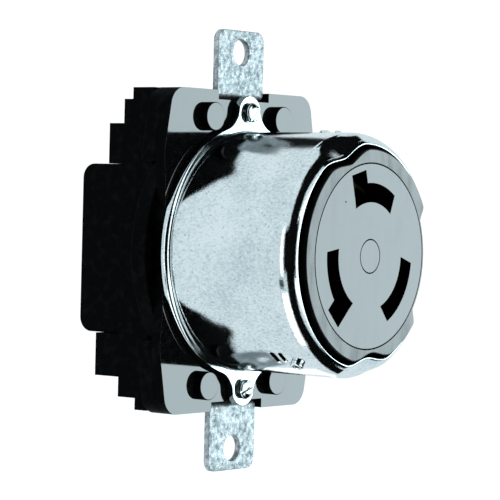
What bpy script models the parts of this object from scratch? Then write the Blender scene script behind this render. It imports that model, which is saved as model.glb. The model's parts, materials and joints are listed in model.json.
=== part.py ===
"""Flush-mounting locking power outlet with a metal shell, as an assembly of separate pieces.

Frame: +Z up, X to the right seen from the front, the face looks along -Y. The origin is midway between the
two mounting holes, in the rear plane of the strap's tabs, where they meet the box.
Lengths are in metres. Angles round the face are in degrees, counter-clockwise from +X seen from the front.
"""

import math

import bmesh
import bpy
from mathutils import Matrix, Vector

MM = 0.001
GAP = 0.3 * MM  # between pieces that touch
HOLE_ROOM = 0.3 * MM  # between a screw's shank and its hole

# Mounting strap
HOLE_SPACING = 83.3 * MM
HOLE_RADIUS = 2.75 * MM
STRAP_HALF_LENGTH = 46.25 * MM
STRAP_HALF_WIDTH = 7.725 * MM
STRAP_WIDE_HALF_WIDTH = 19.0 * MM
STRAP_WIDE_HALF_HEIGHT = 21.5 * MM
STRAP_FLARE_HEIGHT = 24.5 * MM
STRAP_THICKNESS = 1.4 * MM
STRAP_CORNER = 2.3 * MM
STRAP_BEND = 1.2 * MM
STRAP_LEG_INNER = 31.8 * MM
STRAP_PLATE_FRONT = 4.0 * MM
STRAP_OPENING = 15.8 * MM

# Front housing: a plate with four posts and two notches for the strap, on a deeper round body
FLANGE_FRONT = -2.4 * MM
FLANGE_STEP = 0.0
FLANGE_REAR = 3.7 * MM
FLANGE_HALF_HEIGHT = 33.45 * MM
FLANGE_CORNER = 4.0 * MM
FLANGE_CORNER_X = 19.9 * MM
FLANGE_WIDEST = (25.7 * MM, 20.0 * MM)
FLANGE_WAIST = (25.1 * MM, 12.85 * MM)
FLANGE_DISC_RADIUS = 28.2 * MM
FLANGE_LEDGE = 18.2 * MM
FLANGE_PARTING = 0.1 * MM  # how far the deeper part stands inside the plate's outline
NOTCH_HALF_WIDTH = 8.55 * MM
NOTCH_FLOOR = 31.5 * MM
POST_X = 11.7 * MM
POST_Z = 27.82 * MM
POST_RADIUS = 2.96 * MM
POST_FRONT = -4.3 * MM

# Shell
SHELL_RADIUS = 25.0 * MM
SHELL_WALL = 1.0 * MM
SHELL_RING_RADIUS = 26.35 * MM
SHELL_RING_FRONT = -4.1 * MM
SHELL_RING_REAR = FLANGE_FRONT - GAP
SHELL_STRAIGHT_END = -30.4 * MM
SHELL_RIM = -34.4 * MM
EAR_HOLE_Z = 29.0 * MM
EAR_TIP_RADIUS = 3.55 * MM
EAR_NECK_ANGLE = 7.0
EAR_FLARE_ANGLE = 18.0

# Keys: flats pressed into the shell's rim, matched by flats on the core (angle, half width, depth, softness)
KEYS = (
    (110.8, 9.5, 1.82 * MM, 10.5),
    (274.3, 9.8, 1.95 * MM, 9.5),
    (-6.0, 31.5, 2.2 * MM, 3.5),
)
CORE_KEY_SCALE = 1.03

# Core and face
CORE_RADIUS = 21.65 * MM
CORE_BASE_RADIUS = 23.2 * MM
CORE_BORE = 17.4 * MM
FACE_FRONT = -35.67 * MM
FACE_THICKNESS = 4.95 * MM
FACE_RADIUS = 18.7 * MM
PLUG_RADIUS = 3.36 * MM
PLUG_THICKNESS = 1.4 * MM
SLOT_ANGLES = {"top": 85.5, "right": -34.5, "left": 205.5}
SLOT_INNER = 10.95 * MM
SLOT_OUTER = 14.85 * MM
SLOT_HALF_ANGLE_INNER = 33.7
SLOT_HALF_ANGLE_OUTER = 29.0
LEG_LEAN = 19.0
LEG_REACH = 17.4 * MM
LEG_SIDES = (-2.3 * MM, 2.7 * MM)
SLOTS_WITH_LEG = ("top", "left")

# Contacts
BLOCK_RADIUS = CORE_BORE - 2 * GAP
POCKET_INNER = 9.6 * MM
POCKET_OUTER = 16.2 * MM
POCKET_HALF_ANGLE = 34.0
POCKET_FLOOR = -6.3 * MM
LEAF_THICKNESS = 0.8 * MM
CONTACT_INNER = 10.6 * MM
CONTACT_OUTER = 15.2 * MM
CONTACT_HALF_ANGLE = 24.0
CONTACT_FRONT = -29.0 * MM
CONTACT_BRIDGE = (-8.0 * MM, -6.8 * MM)
RISER_RADIUS = 12.9 * MM
RISER_HALF = (0.5 * MM, 2.5 * MM)  # radially and across
LINK = (7.0 * MM, 8.0 * MM)

# Terminals: a box lug, a plate and a screw for each wire
LUG_X = 10.5 * MM
LUG_HALF_WIDTH = 4.6 * MM
LUG_WALL = 1.3 * MM
LUG_Z = (2.9 * MM, 13.1 * MM)
LUG_Y = (14.5 * MM, 22.0 * MM)
WIRE_Z = 8.0 * MM
WIRE_HOLE = 3.5 * MM
TAIL_HALF_WIDTH = 2.8 * MM
TAIL_Z = (4.5 * MM, 5.5 * MM)
TAIL_END = 21.5 * MM
CLAMP_Y = 18.6 * MM
PLATE_HALF = (3.0 * MM, 3.2 * MM)
PLATE_Z = (10.5 * MM, 11.5 * MM)
SCREW_SHANK = 1.8 * MM
SCREW_HEAD = 2.7 * MM
SCREW_HEAD_Z = (15.4 * MM, 17.2 * MM)
WELL_RADIUS = 3.3 * MM
TERMINALS = {
    "top_right": (1, 1),
    "bottom_right": (1, -1),
    "bottom_left": (-1, -1),
    "ground": (-1, 1),
}
CONTACT_TERMINAL = {"top": "top_right", "right": "bottom_right", "left": "bottom_left"}

# Rear housing and cover
REAR_HALF_WIDTH = 22.0 * MM
REAR_FRONT = FLANGE_REAR + GAP
COVER_SEAT = 12.0 * MM
COVER_HALF_WIDTH = 20.0 * MM
COVER_HALF_HEIGHT = 17.6 * MM
COVER_REAR = 24.35 * MM
COVER_CORNER = 3.0 * MM
# Steps of the rear housing's side outline, (y, z), down the back from the top
REAR_STEPS = (
    (9.4 * MM, 33.4 * MM),
    (11.7 * MM, 31.0 * MM),
    (15.6 * MM, 26.0 * MM),
    (COVER_SEAT, COVER_HALF_HEIGHT + GAP),
    (18.1 * MM, -COVER_HALF_HEIGHT - GAP),
    (11.7 * MM, -26.5 * MM),
    (7.1 * MM, -30.6 * MM),
)
REAR_BOTTOM = -33.0 * MM

# Small fasteners
SMALL_SHANK = 1.5 * MM
EAR_HEAD_RADIUS = 2.1 * MM
EAR_HEAD_CROWN = 1.2 * MM
EAR_SCREW_END = 7.5 * MM
ASSEMBLY_HEAD_RADIUS = 2.6 * MM
ASSEMBLY_HEAD_CROWN = 1.4 * MM
ASSEMBLY_SEAT = 11.7 * MM
ASSEMBLY_TIP = -1.6 * MM
RIVET_ANGLE = 240.0
RIVET_Y = -27.4 * MM
RIVET_HEAD = 1.25 * MM
RIVET_SHANK = 0.7 * MM
RIVET_HOLE = 1.0 * MM
RIVET_TAIL = -2.1 * MM
GROUND_RIVET_X = -17.2 * MM
GROUND_RIVET_Z = 10.5 * MM
GROUND_RIVET_HOLE = 1.3 * MM
ROUND_STEPS = 24

# Colours: base colour, roughness, metallic
FINISHES = {
    "plated_steel": ((0.72, 0.75, 0.77), 0.28, 1.0),
    "black_phenolic": ((0.012, 0.012, 0.013), 0.25, 0.0),
    "core_phenolic": ((0.02, 0.021, 0.022), 0.22, 0.0),
    "brass": ((0.72, 0.52, 0.22), 0.3, 1.0),
    "spring_steel": ((0.45, 0.46, 0.48), 0.35, 1.0),
}


def clear_scene():
    for obj in list(bpy.data.objects):
        bpy.data.objects.remove(obj, do_unlink=True)


def make_finishes():
    made = {}
    for name, (colour, roughness, metallic) in FINISHES.items():
        material = bpy.data.materials.new(name)
        material.use_nodes = True
        shader = material.node_tree.nodes["Principled BSDF"]
        shader.inputs["Base Color"].default_value = (*colour, 1.0)
        shader.inputs["Roughness"].default_value = roughness
        shader.inputs["Metallic"].default_value = metallic
        made[name] = material
    return made


def add_object(name, points, faces, finish=None):
    """One object from points and faces; faces may be wound either way."""
    mesh = bpy.data.meshes.new(name)
    bm = bmesh.new()
    verts = [bm.verts.new(p) for p in points]
    for face in faces:
        bm.faces.new([verts[i] for i in face])
    bmesh.ops.recalc_face_normals(bm, faces=bm.faces)
    if bm.calc_volume(signed=True) < 0:
        bmesh.ops.reverse_faces(bm, faces=bm.faces)
    bm.to_mesh(mesh)
    bm.free()
    mesh.shade_smooth()
    mesh.set_sharp_from_angle(angle=math.radians(30))
    obj = bpy.data.objects.new(name, mesh)
    bpy.context.scene.collection.objects.link(obj)
    if finish:
        mesh.materials.append(materials[finish])
    return obj


def prism(name, outline, low, high, axis="Y", finish=None):
    """A flat outline extruded from low to high along an axis. The outline is (x, z), (y, z) or (x, y)."""
    place = {
        "Y": lambda a, b, c: (a, c, b),
        "X": lambda a, b, c: (c, a, b),
        "Z": lambda a, b, c: (a, b, c),
    }[axis]
    count = len(outline)
    points = [place(a, b, c) for c in (low, high) for a, b in outline]
    faces = [list(range(count)), list(range(count, 2 * count))]
    for i in range(count):
        j = (i + 1) % count
        faces.append([i, j, count + j, count + i])
    return add_object(name, points, faces, finish)


def box(name, low, high, finish=None):
    outline = [(low[0], low[1]), (high[0], low[1]), (high[0], high[1]), (low[0], high[1])]
    return prism(name, outline, low[2], high[2], "Z", finish)


def turned(name, profile, finish=None, steps=ROUND_STEPS):
    """A (radius, height) profile, from axis to axis, turned about +Z at the world origin."""
    points = [(0, 0, profile[0][1]), (0, 0, profile[-1][1])]
    faces = []
    rings = []
    for radius, height in profile[1:-1]:
        rings.append(len(points))
        for k in range(steps):
            turn = math.tau * k / steps
            points.append((radius * math.cos(turn), radius * math.sin(turn), height))
    for k in range(steps):
        j = (k + 1) % steps
        faces.append([0, rings[0] + j, rings[0] + k])
        faces.append([1, rings[-1] + k, rings[-1] + j])
        for a, b in zip(rings, rings[1:]):
            faces.append([a + k, a + j, b + j, b + k])
    return add_object(name, points, faces, finish)


def rod(name, radius, low, high, centre=(0, 0), axis="Y", steps=ROUND_STEPS):
    """A plain round cutter or post along an axis; centre is in the two other axes."""
    half_step = 180 / steps
    outline = arc(centre, radius, half_step, 360 + half_step, steps)[:-1]
    return prism(name, outline, low, high, axis)


def arc(centre, radius, start, end, steps):
    """Points on a round stretch, both ends included, angles in degrees."""
    points = []
    for k in range(steps + 1):
        turn = math.radians(start + (end - start) * k / steps)
        points.append((centre[0] + radius * math.cos(turn), centre[1] + radius * math.sin(turn)))
    return points


def polar(radius, angle):
    turn = math.radians(angle)
    return (radius * math.cos(turn), radius * math.sin(turn))


def sector(inner, outer, middle, half_inner, half_outer=None, steps=8):
    """Outline of a stretch of ring; its ends slant when the two half angles differ."""
    half_outer = half_inner if half_outer is None else half_outer
    near = arc((0, 0), inner, middle - half_inner, middle + half_inner, steps)
    far = arc((0, 0), outer, middle + half_outer, middle - half_outer, steps)
    return near + far


def four_way(quadrant):
    """A closed outline from its first quadrant, given from the +b axis round to the +a axis."""
    right_top = quadrant
    right_bottom = [(a, -b) for a, b in reversed(quadrant)]
    left_bottom = [(-a, -b) for a, b in quadrant]
    left_top = [(-a, b) for a, b in reversed(quadrant)]
    outline = []
    for point in right_top + right_bottom + left_bottom + left_top:
        if not outline or (Vector(point) - Vector(outline[-1])).length > 1e-7:
            outline.append(point)
    if (Vector(outline[0]) - Vector(outline[-1])).length < 1e-7:
        outline.pop()
    return outline


def hull(points):
    """Convex outline round a set of points."""
    points = sorted(set(points))

    def half(ordered):
        chain = []
        for p in ordered:
            while len(chain) > 1 and cross(chain[-2], chain[-1], p) <= 0:
                chain.pop()
            chain.append(p)
        return chain[:-1]

    return half(points) + half(points[::-1])


def cross(o, a, b):
    return (a[0] - o[0]) * (b[1] - o[1]) - (a[1] - o[1]) * (b[0] - o[0])


def widen(outline, margin):
    """Convex outline grown by a margin on every side."""
    grown = []
    for a, b in outline:
        grown += [(a + i * margin, b + j * margin) for i in (-1, 1) for j in (-1, 1)]
    return hull(grown)


def combine(obj, other, operation):
    modifier = obj.modifiers.new(operation.lower(), "BOOLEAN")
    modifier.operation = operation
    modifier.object = other
    other.hide_render = True
    other.display_type = "WIRE"


def cut(obj, *cutters):
    for cutter in cutters:
        combine(obj, cutter, "DIFFERENCE")


def join(obj, *others):
    for other in others:
        combine(obj, other, "UNION")


def key_depth(angle):
    """How far the rim is pressed in at an angle."""
    deepest = 0.0
    for middle, half_width, depth, softness in KEYS:
        away = abs((angle - middle + 180) % 360 - 180)
        inside = (half_width + softness - away) / (2 * softness)
        inside = min(1.0, max(0.0, inside))
        deepest = max(deepest, depth * inside * inside * (3 - 2 * inside))
    return deepest


def ring_radius(angle):
    """Outside of the shell's base ring, with an ear at the top and the bottom."""
    away = abs((angle - 90 + 90) % 180 - 90)
    if away <= EAR_NECK_ANGLE:
        turn = math.radians(away)
        across = EAR_HOLE_Z * math.sin(turn)
        return EAR_HOLE_Z * math.cos(turn) + math.sqrt(max(0.0, EAR_TIP_RADIUS**2 - across**2))
    neck = EAR_HOLE_Z * math.cos(math.radians(EAR_NECK_ANGLE))
    flare = (away - EAR_NECK_ANGLE) / (EAR_FLARE_ANGLE - EAR_NECK_ANGLE)
    if flare >= 1:
        return SHELL_RING_RADIUS
    return SHELL_RING_RADIUS + (neck - SHELL_RING_RADIUS) * (1 - flare) ** 3


def keyed_ring(name, stations, angles, finish):
    """A ring whose section is the loop of (radius, y, key weight) stations.

    A radius of None stands for the base ring's outline with its ears.
    """
    points = []
    for angle in angles:
        for radius, y, weight in stations:
            r = ring_radius(angle) if radius is None else radius
            x, z = polar(r - weight * key_depth(angle), angle)
            points.append((x, y, z))
    count = len(stations)
    faces = []
    for k in range(len(angles)):
        j = (k + 1) % len(angles)
        for i in range(count):
            n = (i + 1) % count
            faces.append([k * count + i, j * count + i, j * count + n, k * count + n])
    return add_object(name, points, faces, finish)


def shell_angles():
    """Directions round the shell: close together at the ears, where the outline turns quickly."""
    near_ear = [-18, -15, -12.5, -10.5, -8.5, -7, -6.3, -5.3, -3.8, -2]
    near_ear += [0] + [-a for a in reversed(near_ear)]
    angles = [90 + a for a in near_ear] + [270 + a for a in near_ear]
    plain = [4.0 * k for k in range(90)]
    angles += [a for a in plain if abs((a - 90 + 90) % 180 - 90) > EAR_FLARE_ANGLE + 1]
    return sorted(angles)


def place_on_axis(obj, position, direction):
    """Stands an object turned about +Z on a position, its +Z along a direction."""
    turn = Vector((0, 0, 1)).rotation_difference(Vector(direction)).to_matrix().to_4x4()
    obj.matrix_world = Matrix.Translation(position) @ turn
    return obj


def make_strap():
    front = -STRAP_THICKNESS
    plate_rear = STRAP_PLATE_FRONT + STRAP_THICKNESS
    leg_outer = STRAP_LEG_INNER + STRAP_THICKNESS
    bend = arc((front + STRAP_BEND, STRAP_LEG_INNER + STRAP_BEND), STRAP_BEND, 270, 180, 4)
    top = [
        (plate_rear, leg_outer),
        (0, leg_outer),
        (0, STRAP_HALF_LENGTH),
        (front, STRAP_HALF_LENGTH),
        *reversed(bend),
        (STRAP_PLATE_FRONT, STRAP_LEG_INNER),
    ]
    side = top + [(y, -z) for y, z in reversed(top)]
    strap = prism("mounting_strap", side, -STRAP_WIDE_HALF_WIDTH, STRAP_WIDE_HALF_WIDTH, "X", "plated_steel")
    corner = (STRAP_HALF_WIDTH - STRAP_CORNER, STRAP_HALF_LENGTH - STRAP_CORNER)
    quadrant = arc(corner, STRAP_CORNER, 90, 0, 6)
    quadrant += [
        (STRAP_HALF_WIDTH, STRAP_FLARE_HEIGHT),
        (STRAP_WIDE_HALF_WIDTH - 2 * MM, STRAP_WIDE_HALF_HEIGHT),
        (STRAP_WIDE_HALF_WIDTH - 0.1 * MM, STRAP_WIDE_HALF_HEIGHT - 2 * MM),
    ]
    combine(strap, prism("strap_outline", four_way(quadrant), -10 * MM, 10 * MM), "INTERSECT")
    for side_z in (-1, 1):
        hole = rod("strap_hole", HOLE_RADIUS, -9 * MM, 9 * MM, (0, side_z * HOLE_SPACING / 2))
        thread = rod("strap_thread", SMALL_SHANK + HOLE_ROOM, -9 * MM, 9 * MM, (0, side_z * EAR_HOLE_Z))
        cut(strap, hole, thread)
    cut(strap, rod("strap_opening", STRAP_OPENING, -9 * MM, 9 * MM, steps=48))
    rivet_centre = (GROUND_RIVET_X, GROUND_RIVET_Z)
    cut(strap, rod("strap_rivet_hole", GROUND_RIVET_HOLE, -9 * MM, 9 * MM, rivet_centre, steps=16))
    return strap


def flange_corner(inset):
    """The first quadrant's notch and rounded corner, moved inwards by an inset."""
    notch = NOTCH_HALF_WIDTH + inset
    corner = (FLANGE_CORNER_X, FLANGE_HALF_HEIGHT - FLANGE_CORNER)
    top = FLANGE_HALF_HEIGHT - inset
    return [(notch, NOTCH_FLOOR - inset), (notch, top), *arc(corner, FLANGE_CORNER - inset, 90, 8, 6)]


def plate_outline():
    """The front plate: nearly straight sides."""
    return four_way([*flange_corner(0), FLANGE_WIDEST, FLANGE_WAIST, (FLANGE_WAIST[0], 0)])


def deep_outline():
    """The part behind the plate: four corner blocks and a disc that bulges past the plate's sides."""
    inset = FLANGE_PARTING
    (wide_x, wide_z), (waist_x, waist_z) = FLANGE_WIDEST, FLANGE_WAIST
    ledge_x = waist_x + (wide_x - waist_x) * (FLANGE_LEDGE - waist_z) / (wide_z - waist_z)
    quadrant = [*flange_corner(inset), (wide_x - inset, wide_z), (ledge_x - inset, FLANGE_LEDGE)]
    start = math.degrees(math.asin(FLANGE_LEDGE / FLANGE_DISC_RADIUS))
    return four_way(quadrant + arc((0, 0), FLANGE_DISC_RADIUS, start, 0, 10))


def four_corners():
    return {
        "top_right": (POST_X, POST_Z),
        "bottom_right": (POST_X, -POST_Z),
        "bottom_left": (-POST_X, -POST_Z),
        "top_left": (-POST_X, POST_Z),
    }


def make_front_housing():
    overlap = 0.5 * MM
    plate_rear = FLANGE_STEP + overlap
    housing = prism("front_flange_housing", plate_outline(), FLANGE_FRONT, plate_rear, "Y", "black_phenolic")
    join(housing, prism("flange_disc", deep_outline(), FLANGE_STEP, FLANGE_REAR))
    for corner in four_corners().values():
        join(housing, rod("post", POST_RADIUS, POST_FRONT, FLANGE_FRONT + MM, corner))
    for corner in four_corners().values():
        start = ASSEMBLY_TIP - GAP
        cut(housing, rod("post_thread", SMALL_SHANK + HOLE_ROOM, start, 9 * MM, corner, steps=16))
    for side_z in (-1, 1):
        centre = (0, side_z * EAR_HOLE_Z)
        cut(housing, rod("ear_screw_hole", SMALL_SHANK + HOLE_ROOM, -9 * MM, 9 * MM, centre, steps=16))
    cut(housing, rod("housing_bore", CORE_BORE, -9 * MM, 9 * MM, steps=64))
    return housing


def make_shell():
    inner = SHELL_RADIUS - SHELL_WALL
    stations = [
        (None, SHELL_RING_REAR, 0),
        (None, SHELL_RING_FRONT, 0),
        (26.0 * MM, SHELL_RING_FRONT, 0),
        (25.35 * MM, -4.4 * MM, 0),
        (SHELL_RADIUS, -5.4 * MM, 0),
        (SHELL_RADIUS, SHELL_STRAIGHT_END, 0),
        (24.85 * MM, -31.5 * MM, 0.2),
        (24.2 * MM, -32.8 * MM, 0.6),
        (23.3 * MM, -33.9 * MM, 0.95),
        (22.8 * MM, SHELL_RIM, 1),
        (22.4 * MM, SHELL_RIM, 1),
        (22.3 * MM, -33.9 * MM, 1),
        (22.9 * MM, -33.0 * MM, 0.75),
        (23.7 * MM, -31.6 * MM, 0.3),
        (inner, SHELL_STRAIGHT_END, 0),
        (inner, -5.2 * MM, 0),
        (24.5 * MM, SHELL_RING_REAR, 0),
    ]
    shell = keyed_ring("outer_shell", stations, shell_angles(), "plated_steel")
    for side_z in (-1, 1):
        centre = (0, side_z * EAR_HOLE_Z)
        cut(shell, rod("ear_hole", SMALL_SHANK + HOLE_ROOM, -9 * MM, 0, centre, steps=16))
    cut(shell, rivet_hole("shell_rivet_hole", SHELL_RADIUS))
    return shell


def on_shell(obj, radius):
    """Places a turned piece radially at the rivet's spot on the shell."""
    x, z = polar(radius, RIVET_ANGLE)
    return place_on_axis(obj, (x, RIVET_Y, z), (x, 0, z))


def rivet_hole(name, radius):
    reach = 3 * MM
    profile = [(0, -reach), (RIVET_HOLE, -reach), (RIVET_HOLE, reach), (0, reach)]
    return on_shell(turned(name, profile, None, 16), radius)


def make_ground_spring():
    """The leaf inside the shell, and the rivet that holds it."""
    outer = SHELL_RADIUS - SHELL_WALL - GAP
    outline = sector(outer - 0.5 * MM, outer, RIVET_ANGLE, 8)
    leaf = prism("ground_spring", outline, RIVET_Y - 1.8 * MM, RIVET_Y + 18 * MM, "Y", "spring_steel")
    cut(leaf, rivet_hole("spring_rivet_hole", outer))
    head = GAP
    profile = [
        (0, RIVET_TAIL),
        (RIVET_SHANK, RIVET_TAIL),
        (RIVET_SHANK, head),
        (RIVET_HEAD, head),
        (RIVET_HEAD * 0.85, head + 0.35 * MM),
        (0, head + 0.5 * MM),
    ]
    on_shell(turned("shell_rivet", profile, "plated_steel", 20), SHELL_RADIUS)


def make_core():
    ledge = FACE_FRONT + FACE_THICKNESS + GAP
    weight = CORE_KEY_SCALE
    stations = [
        (21.4 * MM, FACE_FRONT, weight),
        (CORE_RADIUS, FACE_FRONT + 0.25 * MM, weight),
        (CORE_RADIUS, -5.5 * MM, weight),
        (CORE_BASE_RADIUS, -4.9 * MM, 0),
        (CORE_BASE_RADIUS, FLANGE_FRONT - GAP, 0),
        (CORE_BORE, FLANGE_FRONT - GAP, 0),
        (CORE_BORE, ledge, 0),
        (FACE_RADIUS + GAP, ledge, 0),
        (FACE_RADIUS + GAP, FACE_FRONT, 0),
    ]
    keyed_ring("core_ring", stations, [4.0 * k for k in range(90)], "core_phenolic")


def slot_cutters(name, middle, low, high):
    outline = sector(SLOT_INNER, SLOT_OUTER, middle, SLOT_HALF_ANGLE_INNER, SLOT_HALF_ANGLE_OUTER, 10)
    cutters = [prism("slot_" + name, outline, low, high)]
    if name in SLOTS_WITH_LEG:
        along = Vector(polar(1, middle + LEG_LEAN))
        across = Vector((-along.y, along.x))
        start = (SLOT_INNER + SLOT_OUTER) / 2
        corners = [along * r + across * s for r in (start, LEG_REACH) for s in LEG_SIDES]
        cutters.append(prism("slot_leg_" + name, hull([tuple(c) for c in corners]), low, high))
    return cutters


def make_face():
    rear = FACE_FRONT + FACE_THICKNESS
    outline = arc((0, 0), FACE_RADIUS, 0, 360, 72)[:-1]
    disc = prism("face_disc", outline, FACE_FRONT, rear, "Y", "core_phenolic")
    for name, middle in SLOT_ANGLES.items():
        cut(disc, *slot_cutters(name, middle, FACE_FRONT - MM, rear + MM))
    counterbore_end = rear - MM
    cut(disc, rod("plug_seat", PLUG_RADIUS + GAP, FACE_FRONT - MM, counterbore_end, steps=32))
    cut(disc, rod("core_screw_hole", SMALL_SHANK + HOLE_ROOM, FACE_FRONT, rear + MM, steps=16))
    plug_rear = FACE_FRONT + PLUG_THICKNESS
    plug = arc((0, 0), PLUG_RADIUS, 0, 360, 32)[:-1]
    prism("centre_plug", plug, FACE_FRONT, plug_rear, "Y", "core_phenolic")
    head_front = plug_rear + GAP
    length = 8.5 * MM - head_front
    head = counterbore_end - GAP - head_front
    profile = [
        (0, 0),
        (3.0 * MM, 0),
        (3.0 * MM, head),
        (SMALL_SHANK, head),
        (SMALL_SHANK, length),
        (0, length),
    ]
    place_on_axis(turned("core_screw", profile, "spring_steel"), (0, head_front, 0), (0, 1, 0))


def make_contact_block():
    front = FACE_FRONT + FACE_THICKNESS + GAP
    outline = arc((0, 0), BLOCK_RADIUS, 0, 360, 60)[:-1]
    block = prism("contact_block", outline, front, FLANGE_REAR, "Y", "black_phenolic")
    for middle in SLOT_ANGLES.values():
        pocket = sector(POCKET_INNER, POCKET_OUTER, middle, POCKET_HALF_ANGLE)
        cut(block, prism("pocket", pocket, front - MM, POCKET_FLOOR))
        slot = widen(riser_outline(middle), GAP)
        cut(block, prism("riser_slot", slot, POCKET_FLOOR - MM, 9 * MM))
    cut(block, rod("block_screw_hole", SMALL_SHANK + HOLE_ROOM, front - MM, 9 * MM, steps=16))


def riser_outline(middle):
    along = Vector(polar(1, middle))
    across = Vector((-along.y, along.x))
    corners = []
    for i in (-1, 1):
        for j in (-1, 1):
            corners.append(along * (RISER_RADIUS + i * RISER_HALF[0]) + across * j * RISER_HALF[1])
    return hull([tuple(c) for c in corners])


def tail_outline(terminal):
    side_x, side_z = TERMINALS[terminal]
    corners = []
    for i in (-1, 1):
        corners += [(side_x * LUG_X + i * TAIL_HALF_WIDTH, side_z * z) for z in TAIL_Z]
    return hull(corners)


def make_contact(name):
    """Two curved leaves, a bridge behind them, and a riser, link and tail back to the terminal."""
    middle = SLOT_ANGLES[name]
    rim = 0.1 * MM
    bridge = sector(CONTACT_INNER - rim, CONTACT_OUTER + rim, middle, CONTACT_HALF_ANGLE + 0.6)
    contact = prism("contact_" + name, bridge, *CONTACT_BRIDGE, "Y", "brass")
    overlap = 0.2 * MM
    for inner in (CONTACT_INNER, CONTACT_OUTER - LEAF_THICKNESS):
        leaf = sector(inner, inner + LEAF_THICKNESS, middle, CONTACT_HALF_ANGLE)
        join(contact, prism("leaf", leaf, CONTACT_FRONT, CONTACT_BRIDGE[1] - overlap))
    riser = riser_outline(middle)
    tail = tail_outline(CONTACT_TERMINAL[name])
    link = hull(riser + tail)
    join(contact, prism("riser", riser, CONTACT_BRIDGE[0] + overlap, LINK[1] - overlap))
    join(contact, prism("link", widen(link, rim), *LINK))
    join(contact, prism("tail", tail, LINK[0] + overlap, TAIL_END))


def make_contact_spring(name):
    """A closed steel band round both leaves, which keeps them pressed on the blade."""
    middle = SLOT_ANGLES[name]
    outer = sector(9.9 * MM, 15.9 * MM, middle, 27.5)
    inner = sector(10.3 * MM, 15.5 * MM, middle, 25.8)
    band = prism("contact_spring_" + name, outer, -25 * MM, -18 * MM, "Y", "spring_steel")
    cut(band, prism("band_inside", inner, -26 * MM, -17 * MM))


def ground_link_outline():
    pad = [(GROUND_RIVET_X + i * 1.3 * MM, GROUND_RIVET_Z + j * 2.6 * MM) for i in (-1, 1) for j in (-1, 1)]
    return hull(pad + tail_outline("ground"))


def make_ground_link():
    front = STRAP_PLATE_FRONT + STRAP_THICKNESS + GAP
    link = prism("ground_link", ground_link_outline(), front, front + 1.2 * MM, "Y", "plated_steel")
    join(link, prism("ground_tail", tail_outline("ground"), front + 0.2 * MM, TAIL_END))
    centre = (GROUND_RIVET_X, GROUND_RIVET_Z)
    cut(link, rod("link_rivet_hole", GROUND_RIVET_HOLE - GAP, 0, 9 * MM, centre, steps=16))
    profile = [(0, 0), (0.7 * MM, 0), (0.7 * MM, 2.8 * MM), (0, 2.8 * MM)]
    rivet = turned("ground_rivet", profile, "spring_steel", 16)
    place_on_axis(rivet, (GROUND_RIVET_X, STRAP_PLATE_FRONT + 0.1 * MM, GROUND_RIVET_Z), (0, 1, 0))


def rear_side_outline():
    outline = [(REAR_FRONT, REAR_BOTTOM), (REAR_FRONT, REAR_STEPS[0][1])]
    for (y, z), (_, next_z) in zip(REAR_STEPS, [*REAR_STEPS[1:], (0, REAR_BOTTOM)]):
        outline += [(y, z), (y, next_z)]
    return [p for i, p in enumerate(outline) if i == 0 or p != outline[i - 1]]


def make_rear_housing():
    side = rear_side_outline()
    housing = prism("rear_housing", side, -REAR_HALF_WIDTH, REAR_HALF_WIDTH, "X", "black_phenolic")
    pocket_front = REAR_FRONT - 2 * MM
    strap_floor = STRAP_PLATE_FRONT + STRAP_THICKNESS + GAP
    room = 2 * GAP
    wide = (STRAP_WIDE_HALF_WIDTH + room, STRAP_WIDE_HALF_HEIGHT + room)
    narrow = (STRAP_HALF_WIDTH + room, 40 * MM)
    for half_x, half_z in (wide, narrow):
        low = (-half_x, pocket_front, -half_z)
        cut(housing, box("strap_pocket", low, (half_x, strap_floor, half_z)))
    flare = four_way([(STRAP_HALF_WIDTH + room, STRAP_FLARE_HEIGHT + 1.5 * room), wide, (wide[0], 20 * MM)])
    cut(housing, prism("strap_flare_pocket", flare, pocket_front + 0.5 * MM, strap_floor - 0.02 * MM))
    for name, terminal in CONTACT_TERMINAL.items():
        link = widen(hull(riser_outline(SLOT_ANGLES[name]) + tail_outline(terminal)), 0.5 * MM)
        cut(housing, prism("link_pocket", link, pocket_front, LINK[1] + GAP))
        cut(housing, prism("tail_slot", widen(tail_outline(terminal), GAP), pocket_front, 20 * MM))
    ground = widen(ground_link_outline(), GAP)
    cut(housing, prism("ground_pocket", ground, pocket_front, strap_floor + 1.8 * MM))
    cut(housing, prism("ground_tail_slot", widen(tail_outline("ground"), GAP), pocket_front, 20 * MM))
    for x, z in four_corners().values():
        cut(housing, rod("assembly_hole", SMALL_SHANK + HOLE_ROOM, 0, 30 * MM, (x, z), steps=16))
        seat = ASSEMBLY_SEAT - 1.5 * MM
        cut(housing, rod("assembly_seat", ASSEMBLY_HEAD_RADIUS + GAP, seat, 30 * MM, (x, z)))
    for side_z in (-1, 1):
        centre = (0, side_z * EAR_HOLE_Z)
        cut(housing, rod("ear_screw_room", SMALL_SHANK + HOLE_ROOM, 0, EAR_SCREW_END + GAP, centre, steps=16))
    cut(housing, rod("core_thread", SMALL_SHANK + HOLE_ROOM, 0, 8.5 * MM + GAP, steps=16))
    for side_x in (-1, 1):
        centre = (side_x * LUG_X, CLAMP_Y)
        cut(housing, rod("driver_relief", WELL_RADIUS + 0.4 * MM, -40 * MM, 40 * MM, centre, "Z"))


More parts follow.
